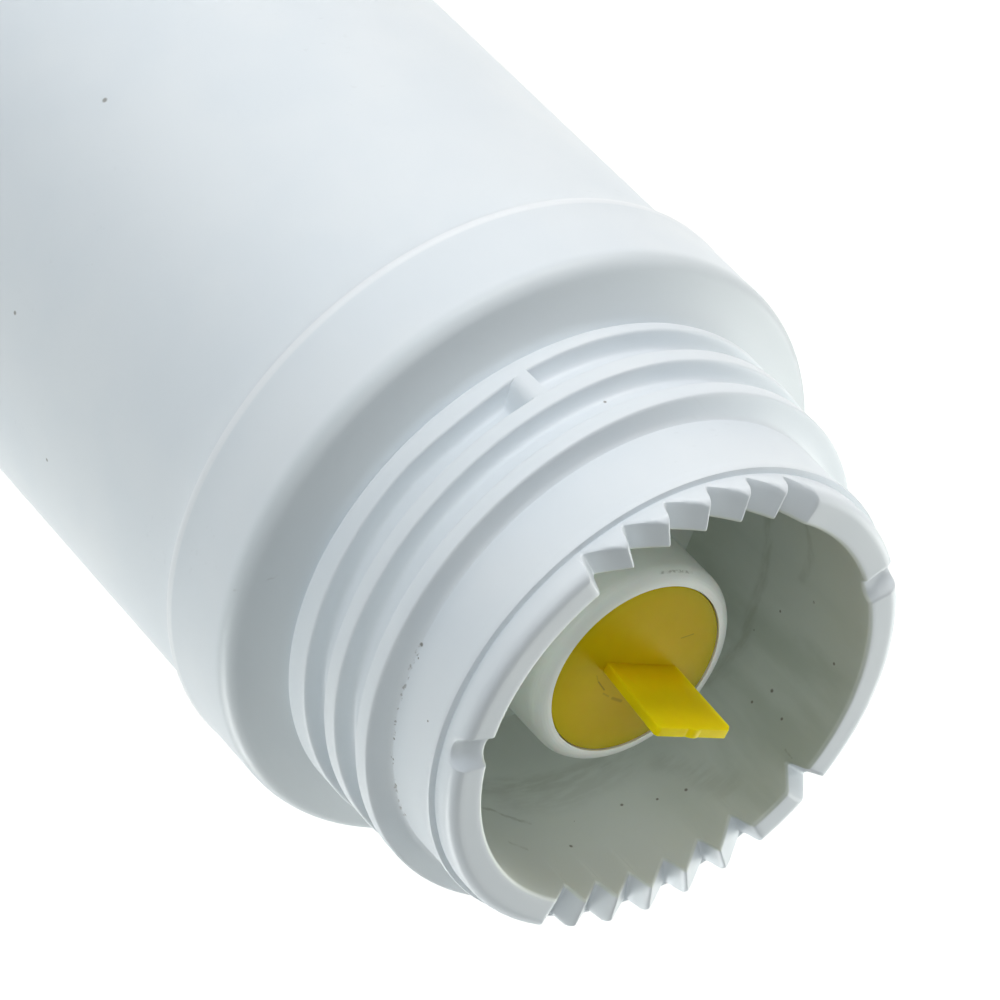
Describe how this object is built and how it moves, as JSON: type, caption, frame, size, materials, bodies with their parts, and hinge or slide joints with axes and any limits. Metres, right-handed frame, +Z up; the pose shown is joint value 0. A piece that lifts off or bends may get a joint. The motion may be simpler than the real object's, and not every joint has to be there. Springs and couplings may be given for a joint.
{
  "type": "water filter cartridge",
  "caption": "Tall white screw-in water filter cartridge with a threaded neck, a ratchet-toothed rim and a yellow pull-out transport plug in its central hub.",
  "frame": {"origin": "centre of the base, on the plane of the foot ring", "axes": "+Z up along the cartridge's axis to the neck; -Y is the side that the picture shows, with the stop rib near it"},
  "size_m": [0.0908, 0.0908, 0.3131],
  "materials": {
    "bottle_white": "satin moulded polypropylene",
    "head_white": "satin moulded polypropylene",
    "natural_plastic": "satin natural polypropylene",
    "plug_yellow": "semi-gloss, slightly translucent",
    "seal_rubber": "matt",
    "fleece": "needled polyester fleece",
    "carbon": "packed activated carbon granules",
    "resin_beads": "packed ion exchange beads"
  },
  "bodies": {
    "cartridge": {"body_shell": "bottle_white", "neck_head": "head_white", "connector_insert": "natural_plastic", "insert_seal": "seal_rubber", "hub_seal": "seal_rubber", "riser_tube": "natural_plastic", "riser_seal": "seal_rubber", "top_strainer": "natural_plastic", "top_fleece": "fleece", "carbon_bed": "carbon", "middle_fleece": "fleece", "resin_bed": "resin_beads", "bottom_fleece": "fleece", "bottom_strainer": "natural_plastic"},
    "plug": {"transport_plug": "plug_yellow"}
  },
  "joints": [
    {"name": "plug_pull", "type": "slide", "parent": "cartridge", "child": "plug", "axis": [0, 0, 1], "range_m": [0, 0.03]}
  ]
}
